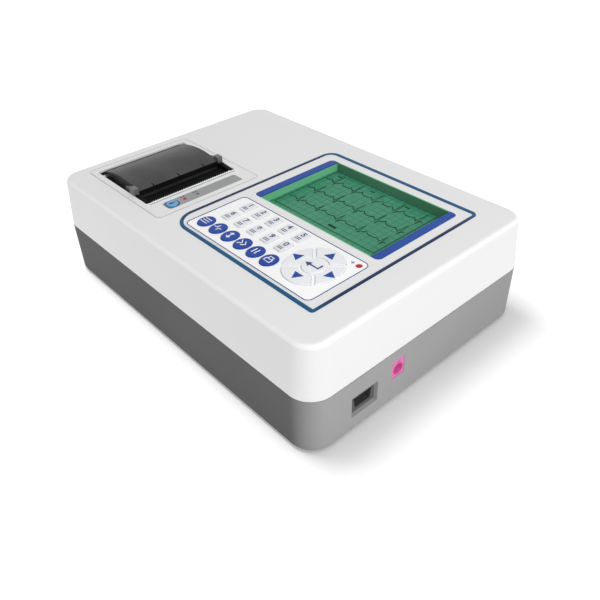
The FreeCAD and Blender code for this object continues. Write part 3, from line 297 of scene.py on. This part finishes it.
for name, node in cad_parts.items():
    kind, isKey = name.partition("_key")[:2]
    dress(node, keyLooks[kind] if isKey else nodeLooks[name])
print("nodes dressed", len(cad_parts))


steps = {"bevel": 3, "corner": 6, "ring": 64, "ringSide": 10, "thread": 1}  # how finely round shapes divide


def pick(piece):
    bpy.ops.object.select_all(action="DESELECT")
    piece.select_set(True)
    bpy.context.view_layer.objects.active = piece


def placed(piece):  # puts the piece's place and size into its mesh
    pick(piece)
    bpy.ops.object.transform_apply(location=True, rotation=True, scale=True)
    return piece


def softened(piece, width):
    placed(piece)
    soft = piece.modifiers.new("soft", "BEVEL")
    soft.width = width * mm
    soft.segments = steps["bevel"]
    bpy.ops.object.modifier_apply(modifier="soft")
    return piece


def repeated(piece, shifts):  # the piece and copies with their own meshes, one at each shift in millimetres
    placed(piece)
    parts = [piece]
    while len(parts) < len(shifts):
        pick(piece)
        bpy.ops.object.duplicate()
        parts.append(bpy.context.object)
    for part, shift in zip(parts, shifts):
        part.location = [c * mm for c in shift]
    return parts


def joined(parts):
    for part in parts:
        placed(part)
    for part in parts:
        part.select_set(True)
    bpy.context.view_layer.objects.active = parts[0]
    if len(parts) > 1:
        bpy.ops.object.join()
    return parts[0]


def settle(piece, name, look, body):
    placed(piece)
    piece.name = name
    dress(piece, look)
    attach(piece, body)


def inMm(*metres):
    return [c / mm for c in metres]


def edges(node):  # lowest and highest corner of a CAD node
    low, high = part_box(node)
    return inMm(*low), inMm(*high)


def centre(node):
    low, high = edges(node)
    return [(a + b) / 2 for a, b in zip(low, high)]


def topMiddle(node):  # middle of a CAD node seen from above, and its top
    x, y, z = centre(node)
    return x, y, edges(node)[1][2]


def bar(x0, x1, y0, y1, z0, z1):
    spot = ((x0 + x1) / 2 * mm, (y0 + y1) / 2 * mm, (z0 + z1) / 2 * mm)
    bpy.ops.mesh.primitive_cube_add(size=1, location=spot)
    piece = bpy.context.object
    piece.scale = ((x1 - x0) * mm, (y1 - y0) * mm, (z1 - z0) * mm)
    return piece


def block(x, y, z, wide, deep, tall):
    return bar(x - wide / 2, x + wide / 2, y - deep / 2, y + deep / 2, z - tall / 2, z + tall / 2)


def arrowHead(x, y, z, reach, tall, turn):
    bpy.ops.mesh.primitive_cylinder_add(vertices=3, radius=reach * mm, depth=tall * mm,
                                        location=(x * mm, y * mm, z * mm))
    piece = bpy.context.object
    piece.rotation_euler = (0, 0, math.radians(turn))
    return piece


def ring(x, y, z, r, thick, tall):
    bpy.ops.mesh.primitive_torus_add(
        major_radius=r * mm, minor_radius=thick / 2 * mm, major_segments=steps["ring"],
        minor_segments=steps["ringSide"], location=(x * mm, y * mm, z * mm))
    piece = bpy.context.object
    piece.scale = (1, 1, tall / thick)
    return piece


def numeral(text, x, y, z, style):
    bpy.ops.object.text_add()
    piece = bpy.context.object
    piece.data.body = text
    piece.data.size = style["size"] * mm
    piece.data.align_x = "CENTER"
    piece.data.align_y = "CENTER"
    piece.data.offset = style["bold"] * mm
    piece.data.extrude = style["tall"] / 2 * mm
    pick(piece)
    bpy.ops.object.convert(target="MESH")
    piece.location = (x * mm, y * mm, z * mm)
    return piece


def thread(points, z, thick, closed=False):  # round line along level points
    bpy.ops.curve.primitive_nurbs_path_add()
    piece = bpy.context.object
    piece.data.splines.clear()
    run = piece.data.splines.new("POLY")
    run.points.add(len(points) - 1)
    for spot, (x, y) in zip(run.points, points):
        spot.co = (x * mm, y * mm, z * mm, 1)
    run.use_cyclic_u = closed
    piece.data.bevel_depth = thick / 2 * mm
    piece.data.bevel_resolution = steps["thread"]
    pick(piece)
    bpy.ops.object.convert(target="MESH")
    return piece


def roundLoop(low, high, corner, out=0.0):  # rounded rectangle, moved outwards by out
    x0, y0 = low[0] - out + corner, low[1] - out + corner
    x1, y1 = high[0] + out - corner, high[1] + out - corner
    spots = []
    for cx, cy, start in ((x1, y1, 0), (x0, y1, 90), (x0, y0, 180), (x1, y0, 270)):
        for step in range(steps["corner"] + 1):
            a = math.radians(start + 90 * step / steps["corner"])
            spots.append((cx + corner * math.cos(a), cy + corner * math.sin(a)))
    return spots


digits = {"size": 6.6, "bold": 0.16, "tall": 0.12, "up": 2.5, "dash": 2.4, "down": 2.9,
          "dashRows": (-0.8, 0.8), "thick": 0.6}
for n in range(10):
    key = "number_key_%d" % n
    x, y, top = topMiddle(key)
    dash = thread([(-digits["dash"], 0), (digits["dash"], 0)], 0, digits["thick"])
    dashes = repeated(dash, [(x, y - digits["down"] + row, top) for row in digits["dashRows"]])
    mark = joined([numeral(str(n), x, y + digits["up"], top, digits)] + dashes)
    settle(mark, "digit_%d" % n, "navyInk", key)

arrows = {"reach": 4.7, "tall": 0.12, "soft": 0.05, "spots": {  # x and y from the enter key, and turn
    "right": (15.2, -0.2, -90), "up": (-0.1, 15.2, 0), "left": (-15.2, -0.6, 90), "down": (0.4, -15.3, 180)}}
enterX, enterY, enterTop = topMiddle("enter_key")
for name, (dx, dy, turn) in arrows["spots"].items():
    key = "arrow_key_" + name
    mark = arrowHead(enterX + dx, enterY + dy, topMiddle(key)[2], arrows["reach"], arrows["tall"], turn)
    settle(softened(mark, arrows["soft"]), "arrow_" + name, "keyBlue", key)

enter = {"thick": 1.2, "right": 4.8, "left": -3.2, "up": 3.4, "down": -1.0, "tip": 2.8, "tipX": -4.0,
         "tipTall": 0.5}
hook = [(enter["right"], enter["up"]), (enter["right"], enter["down"]), (enter["left"], enter["down"])]
stem = thread([(enterX + dx, enterY + dy) for dx, dy in hook], enterTop, enter["thick"])
tip = arrowHead(enterX + enter["tipX"], enterY + enter["down"], enterTop, enter["tip"], enter["tipTall"], 90)
settle(joined([stem, tip]), "return_mark", "navyInk", "enter_key")

signs = {"thick": 0.8, "grow": 1.2, "strokes": [  # lines, pulse, up and down, forward, pause, printer
    [[(-3.2, 2), (3.2, 2)], [(-3.2, 0), (3.2, 0)], [(-3.2, -2), (3.2, -2)]],
    [[(-3.2, 0), (-1.4, 0), (-0.5, 2.8), (0.6, -2.6), (1.4, 0), (3.2, 0)]],
    [[(0, -2.8), (0, 2.8)], [(-1.5, 1.4), (0, 2.9), (1.5, 1.4)], [(-1.5, -1.4), (0, -2.9), (1.5, -1.4)]],
    [[(-2.6, 2.2), (-0.4, 0), (-2.6, -2.2)], [(0.4, 2.2), (2.6, 0), (0.4, -2.2)]],
    [[(-1.2, -2.4), (-1.2, 2.4)], [(1.2, -2.4), (1.2, 2.4)]],
    [[(-2.4, 0.4), (-2.4, -2.2), (2.4, -2.2), (2.4, 0.4), (-2.4, 0.4)],
     [(-1.5, 0.6), (-1.5, 2.6), (1.5, 2.6), (1.5, 0.6)]],
]}
for n, lines in enumerate(signs["strokes"], 1):
    key = "function_key_%d" % n
    x, y, top = topMiddle(key)
    parts = []
    for line in lines:
        points = [(x + dx * signs["grow"], y + dy * signs["grow"]) for dx, dy in line]
        parts.append(thread(points, top, signs["thick"]))
    settle(joined(parts), "function_sign_%d" % n, "whiteInk", key)

border = {"inset": 0.7, "thick": 0.7, "corner": 4.4}
low, high = edges("keypad_overlay")
overlayTop = high[2]
outline = roundLoop(low, high, border["corner"], -border["inset"])
edge = thread(outline, overlayTop, border["thick"], closed=True)
settle(edge, "overlay_outline", "navyInk", "case")

ink = {"under": 0.05, "over": 0.06, "soft": 0.05}  # a print reaches into its face, so no gap shows below it


def inkBar(x0, x1, y0, y1, top):
    return bar(x0, x1, y0, y1, top - ink["under"], top + ink["over"])


cross = {"left": 11.4, "down": 6.3, "reach": 1.5, "half": 0.3}  # from the overlay's right back corner
x, y = high[0] - cross["left"], high[1] - cross["down"]
parts = []
for across, up in ((cross["reach"], cross["half"]), (cross["half"], cross["reach"])):
    parts.append(inkBar(x - across, x + across, y - up, y + up, overlayTop))
settle(softened(joined(parts), ink["soft"]), "lamp_sign", "navyInk", "case")
print("keypad printed")

# the picture is drawn about the middle of the screen and then moved there
screenX, screenY, screenTop = topMiddle("screen_panel")
trace = {"rows": ((25.1, 12.0), (4.5, 11.0), (-15.1, 8.0)),  # base line and height of each curve
         "left": -54.0, "right": 48.0, "first": -43.6, "pitch": 21.6, "beats": 5, "thick": 0.62}
beat = [(-9.5, 0), (-6.5, 0.05), (-5.2, 0.22), (-3.9, 0.04), (-2.0, 0), (-1.1, -0.18), (0, 1), (1.0, -0.42),
        (2.0, 0.02), (4.0, 0.06), (6.0, 0.3), (7.8, 0.05), (10.0, 0)]  # one heart beat, height as a share
parts = []
for base, height in trace["rows"]:
    points = [(trace["left"], base)]
    for n in range(trace["beats"]):
        middle = trace["first"] + n * trace["pitch"]
        points += [(middle + dx, base + share * height) for dx, share in beat
                   if trace["left"] < middle + dx < trace["right"]]
    parts.append(thread(points, screenTop, trace["thick"]))
inner = {"low": (-55.2, -29.9), "high": (49.2, 39.9), "thick": 0.5}  # border line of the picture
(x0, y0), (x1, y1) = inner["low"], inner["high"]
parts.append(thread([(x0, y0), (x1, y0), (x1, y1), (x0, y1)], screenTop, inner["thick"], closed=True))
labels = {"count": 3, "first": -49.6, "pitch": 36.0, "long": 5.0, "front": 33.7, "back": 34.9,
          "half": 0.05, "soft": 0.03}
flat = (screenTop - labels["half"], screenTop + labels["half"])
label = bar(labels["first"], labels["first"] + labels["long"], labels["front"], labels["back"], *flat)
shifts = [(n * labels["pitch"], 0, 0) for n in range(labels["count"])]
parts += repeated(softened(label, labels["soft"]), shifts)
speed = {"left": 0.0, "right": 8.0, "front": -26.3, "back": -24.3}
label = bar(speed["left"], speed["right"], speed["front"], speed["back"], *flat)
parts.append(softened(label, labels["soft"]))
picture = joined(parts)
picture.location = (screenX * mm, screenY * mm, 0)
settle(picture, "display_traces", "blackInk", "case")

# dark green panel on the window's back wall: painted shade, where the recess is only in shade
shadePanel = {"side": 7.5, "front": 1.2, "back": 0.92, "gap": 0.1, "soft": 0.1}  # from the surround's edges
low, high = edges("screen_surround")
back = bar(low[0] + shadePanel["side"], high[0] - shadePanel["side"], high[1] - shadePanel["front"], high[1] - shadePanel["back"],
           low[2] + shadePanel["gap"], high[2] - shadePanel["gap"])
settle(softened(back, shadePanel["soft"]), "window_back_painted_shade", "paintedShadeGreen", "case")
print("display drawn")

bezelLow, bezelHigh = edges("printer_bezel")
bayLow, bayHigh = edges("printer_chassis")
bezelTop = bezelHigh[2]

# pale thread round the bay in the shell's white: a painted highlight along the bay's rim
rimHighlight = {"inset": 1.0, "corner": 1.2, "thick": 0.9}
outline = roundLoop(bayLow, bayHigh, rimHighlight["corner"], -rimHighlight["inset"])
lip = thread(outline, bezelTop, rimHighlight["thick"], closed=True)
settle(lip, "bay_rim_highlight", "whiteCase", "case")

# grey thread in the joint round the bezel: painted shade of the gap
gap = {"down": 0.25, "out": 0.1, "corner": 4.1, "thick": 0.6}
outline = roundLoop(bezelLow, bezelHigh, gap["corner"], gap["out"])
line = thread(outline, bezelTop - gap["down"], gap["thick"], closed=True)
settle(line, "bezel_gap_shade", "grooveShadeGrey", "case")

# black strip along the door's hinge edge, painted shade of the hinge gap, placed from the door's edges and
# the bezel's top
heelShade = {"left": 1.6, "right": 3.3, "inset": 0.2, "under": 0.5, "over": 0.2, "soft": 0.2}
low, high = edges("printer_door")
strip = bar(low[0] + heelShade["left"], low[0] + heelShade["right"], low[1] + heelShade["inset"], high[1] - heelShade["inset"],
            bezelTop - heelShade["under"], bezelTop + heelShade["over"])
settle(softened(strip, heelShade["soft"]), "door_heel_shade", "black", "door")

# dashes beside the two lamps, counted from the strip's left edge and the green lamp, and a ring round the key
stripMarks = {"left": 0.5, "right": 3.5, "half": 0.4, "rows": (-1.2, 1.2), "lamps": (-11.7, 0.0),
              "ringR": 5.5, "thick": 0.9, "tall": 0.3}
left, greenY = edges("status_strip")[0][0], centre("green_lamp")[1]
dash = inkBar(left + stripMarks["left"], left + stripMarks["right"], -stripMarks["half"], stripMarks["half"],
              bezelTop)
shifts = [(0, greenY + lamp + row, 0) for lamp in stripMarks["lamps"] for row in stripMarks["rows"]]
parts = repeated(softened(dash, ink["soft"]), shifts)
x, y, top = topMiddle("feed_button")
parts.append(ring(x, y, bezelTop, stripMarks["ringR"], stripMarks["thick"], stripMarks["tall"]))
settle(joined(parts), "strip_marks", "navyInk", "case")

feedMark = {"half": 0.6, "start": -0.4, "end": 2.6, "headY": -1.2, "head": 2.2, "headTall": 0.14}
shaft = inkBar(x - feedMark["half"], x + feedMark["half"], y + feedMark["start"], y + feedMark["end"], top)
head = arrowHead(x, y + feedMark["headY"], top, feedMark["head"], feedMark["headTall"], 180)
settle(softened(joined([shaft, head]), ink["soft"]), "feed_mark", "navyInk", "feed")

tabs = {"along": 51.9, "up": 6.9, "wide": 6.4, "deep": 5.0, "tall": 5.6, "soft": 0.6}  # from the hinge pin
x, y, z = centre("hinge_pin")
tab = block(x + tabs["along"], 0, z + tabs["up"], tabs["wide"], tabs["deep"], tabs["tall"])
pair = repeated(softened(tab, tabs["soft"]), [(0, corner[1], 0) for corner in edges("release_lever")])
settle(joined(pair), "lever_tabs", "leverGrey", "lever")

edgeLine = {"left": -0.1, "right": 1.1, "inset": 3.0}  # from the bay's right edge and its ends
line = inkBar(bayHigh[0] + edgeLine["left"], bayHigh[0] + edgeLine["right"], bayLow[1] + edgeLine["inset"],
              bayHigh[1] - edgeLine["inset"], bezelTop)
settle(softened(line, ink["soft"]), "tear_edge_line", "strip", "case")

ridges = {"first": -12.8, "pitch": 3.2, "count": 4, "wide": 1.0, "inset": 1.0, "under": 0.05, "over": 0.35,
          "soft": 0.15}  # from the tear bar's lower left edge
low, high = edges("tear_bar")
left = low[0] + ridges["first"]
ridge = bar(left, left + ridges["wide"], low[1] + ridges["inset"], high[1] - ridges["inset"],
            low[2] - ridges["under"], low[2] + ridges["over"])
shifts = [(n * ridges["pitch"], 0, 0) for n in range(ridges["count"])]
settle(joined(repeated(softened(ridge, ridges["soft"]), shifts)), "guide_ridges", "black", "case")
print("printer marked")

pins = {"out": 1.6, "long": 4.0, "r": 0.5, "sides": 12, "pitch": 1.9, "soft": 0.15,
        "rows": ((1.6, 8), (-1.6, 7))}  # height above the socket's middle and count of each row
x, y, z = centre("patient_socket")
bpy.ops.mesh.primitive_cylinder_add(vertices=pins["sides"], radius=pins["r"] * mm, depth=pins["long"] * mm,
                                    rotation=(0, math.pi / 2, 0))
pin = softened(bpy.context.object, pins["soft"])
spots = []
for rise, count in pins["rows"]:
    for n in range(count):
        spots.append((x + pins["out"], y + (n - (count - 1) / 2) * pins["pitch"], z + rise))
settle(joined(repeated(pin, spots)), "socket_pins", "gold", "case")

# ring round the mouth of the jack and a dash above it, from the plate's face and middle
jack = {"out": 0.03, "down": 0.9, "r": 4.3, "thick": 0.9, "tall": 0.12, "markIn": 0.05, "markOut": 0.08,
        "markLow": 4.8, "markHigh": 5.6, "markHalf": 1.6, "markSoft": 0.05}
x, y, z = centre("jack_socket")
face = edges("jack_socket")[1][0]
mouth = ring(face + jack["out"], y, z - jack["down"], jack["r"], jack["thick"], jack["tall"])
mouth.rotation_euler = (0, math.pi / 2, 0)
mark = bar(face - jack["markIn"], face + jack["markOut"], y - jack["markHalf"], y + jack["markHalf"],
           z + jack["markLow"], z + jack["markHigh"])
settle(joined([mouth, softened(mark, jack["markSoft"])]), "jack_mark", "magenta", "case")

# black thread in the gap between the shells: painted shade of the parting line
seamShade = {"down": 0.15, "inset": 0.25, "corner": 17.8, "thick": 0.5}
low, high = edges("lower_case")
outline = roundLoop(low, high, seamShade["corner"], -seamShade["inset"])
line = thread(outline, edges("upper_case")[0][2] - seamShade["down"], seamShade["thick"], closed=True)
settle(line, "case_seam_shade", "black", "case")

rocker = {"on": (-1.21, 4.26, -15.8), "off": (-2.42, -4.48, 0.3),  # y from the face, z from the middle, lean
          "tall": 3.6, "wide": 0.8, "r": 1.7, "thick": 0.24, "soft": 0.08}
x, y, z = centre("power_switch")
face = edges("power_switch")[1][1]
dy, dz, lean = rocker["on"]
stroke = block(x, face + dy, z + dz, rocker["wide"], rocker["thick"], rocker["tall"])
stroke.rotation_euler = (math.radians(lean), 0, 0)
softened(stroke, rocker["soft"])
dy, dz, lean = rocker["off"]
loop = ring(x, face + dy, z + dz, rocker["r"], rocker["wide"], rocker["thick"])
loop.rotation_euler = (math.radians(90 + lean), 0, 0)
settle(joined([stroke, loop]), "rocker_marks", "whiteInk", "rocker")

blades = {"side": -13.8, "root": -4.9, "tip": 7.06, "wide": 2.1, "tall": 4.1, "soft": 0.4,
          "spots": ((-7, -2), (7, -2), (0, 2))}  # from the inlet's middle
x, y, z = centre("mains_inlet")
long, half = blades["tip"] - blades["root"], (blades["root"] + blades["tip"]) / 2
blade = block(x + blades["side"], y + half, z, blades["wide"], long, blades["tall"])
trio = repeated(softened(blade, blades["soft"]), [(dx, 0, dz) for dx, dz in blades["spots"]])
settle(joined(trio), "inlet_blades", "brass", "case")
print("sides and back marked")


def backdrop(owner):  # 1 where the camera, a gloss or a glass looks, 0 for the light itself
    seen = addNode(owner, "ShaderNodeLightPath")
    total = seen.outputs["Is Camera Ray"]
    for ray in ("Is Glossy Ray", "Is Transmission Ray"):
        most = addNode(owner, "ShaderNodeMath", {"operation": "MAXIMUM"}, Value=total)
        owner.node_tree.links.new(seen.outputs[ray], most.inputs[1])
        total = most.outputs["Value"]
    return total


# studio floor: matt paper, which turns plain white away from the machine (metres)
sheet = {"size": 8, "near": 0.2, "far": 1.0, "start": 0.45, "end": 1.3}
bpy.ops.mesh.primitive_plane_add(size=sheet["size"], location=(0, 0, 0))
floor = bpy.context.object
floor.name = "floor"
paint = surface("pale studio paper", {
    "low": "#f4f4f4", "high": "#f7f7f7", "grainMm": 2, "bump": 0.02, "rough": 0.9, "shine": 0.05,
    "cloudMm": 900})
reach = addNode(paint, "ShaderNodeVectorMath", {"operation": "LENGTH"},
                Vector=paint.node_tree.nodes["place"].outputs["Object"])
fade = addNode(paint, "ShaderNodeMapRange", {
    "From Min": sheet["start"], "From Max": sheet["end"], "To Min": sheet["near"], "To Max": sheet["far"]},
    Value=reach.outputs["Value"])
lift = addNode(paint, "ShaderNodeMath", {"operation": "MULTIPLY"}, Value=backdrop(paint))
paint.node_tree.links.new(fade.outputs["Result"], lift.inputs[1])
paper = paint.node_tree.nodes["Principled BSDF"]
paper.inputs["Emission Color"].default_value = (1, 1, 1, 1)
paint.node_tree.links.new(lift.outputs["Value"], paper.inputs["Emission Strength"])
floor.data.materials.append(paint)

air = {"light": 0.55, "seen": 1.0}  # strength as a light, and as the background that is seen
world = bpy.data.worlds.new("studio")
bpy.context.scene.world = world
world.use_nodes = True
sky = world.node_tree.nodes["Background"]
sky.inputs["Color"].default_value = (1, 1, 1, 1)
level = addNode(world, "ShaderNodeMapRange", {"To Min": air["light"], "To Max": air["seen"]},
                Value=backdrop(world))
world.node_tree.links.new(level.outputs["Result"], sky.inputs["Strength"])

machine = [thing for thing in bpy.context.scene.objects if thing.type == "MESH" and thing != floor]
lowSide = [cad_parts[name] for name in ("lower_case", "patient_socket")]
softBoxes = {  # place and aim in millimetres, size in metres, power in watts, and what each one lights
    "key": {"spot": (1300, -250, 950), "aim": (0, 0, 40), "size": 0.9, "power": 12.0, "lit": machine},
    "top": {"spot": (-200, 500, 1500), "aim": (0, 0, 40), "size": 1.4, "power": 3.0, "lit": machine},
    "side": {"spot": (1000, -150, 160), "aim": (155, 0, 25), "size": 0.4, "power": 26.0, "lit": lowSide},
    "sweep": {"spot": (-330, -120, 1300), "aim": (0, 0, 0), "size": 0.55, "power": 12.0, "lit": [floor]},
}
for name, box in softBoxes.items():
    bpy.ops.object.light_add(type="AREA", location=[c * mm for c in box["spot"]])
    lamp = bpy.context.object
    lamp.name = name
    lamp.data.size = box["size"]
    lamp.data.energy = box["power"]
    toward = Vector(box["aim"]) * mm - lamp.location
    lamp.rotation_euler = toward.to_track_quat("-Z", "Y").to_euler()
    group = bpy.data.collections.new(name + "_lit")
    for thing in box["lit"]:
        group.objects.link(thing)
    lamp.light_linking.receiver_collection = group

lens = {"spot": (349.1, -284.1, 327.7), "aim": (70.9, -42.2, 45.0), "roll": -1.9, "focal": 39.03,
        "sensor": 36, "near": 0.01}
bpy.ops.object.camera_add(location=[c * mm for c in lens["spot"]])
eye = bpy.context.object
gaze = (Vector(lens["aim"]) - Vector(lens["spot"])).to_track_quat("-Z", "Y").to_matrix()
eye.rotation_euler = (gaze @ Matrix.Rotation(math.radians(lens["roll"]), 3, "Z")).to_euler()
eye.data.lens = lens["focal"]
eye.data.sensor_width = lens["sensor"]
eye.data.clip_start = lens["near"]
bpy.context.scene.camera = eye
bpy.context.scene.view_settings.view_transform = "Standard"
print("stage set")
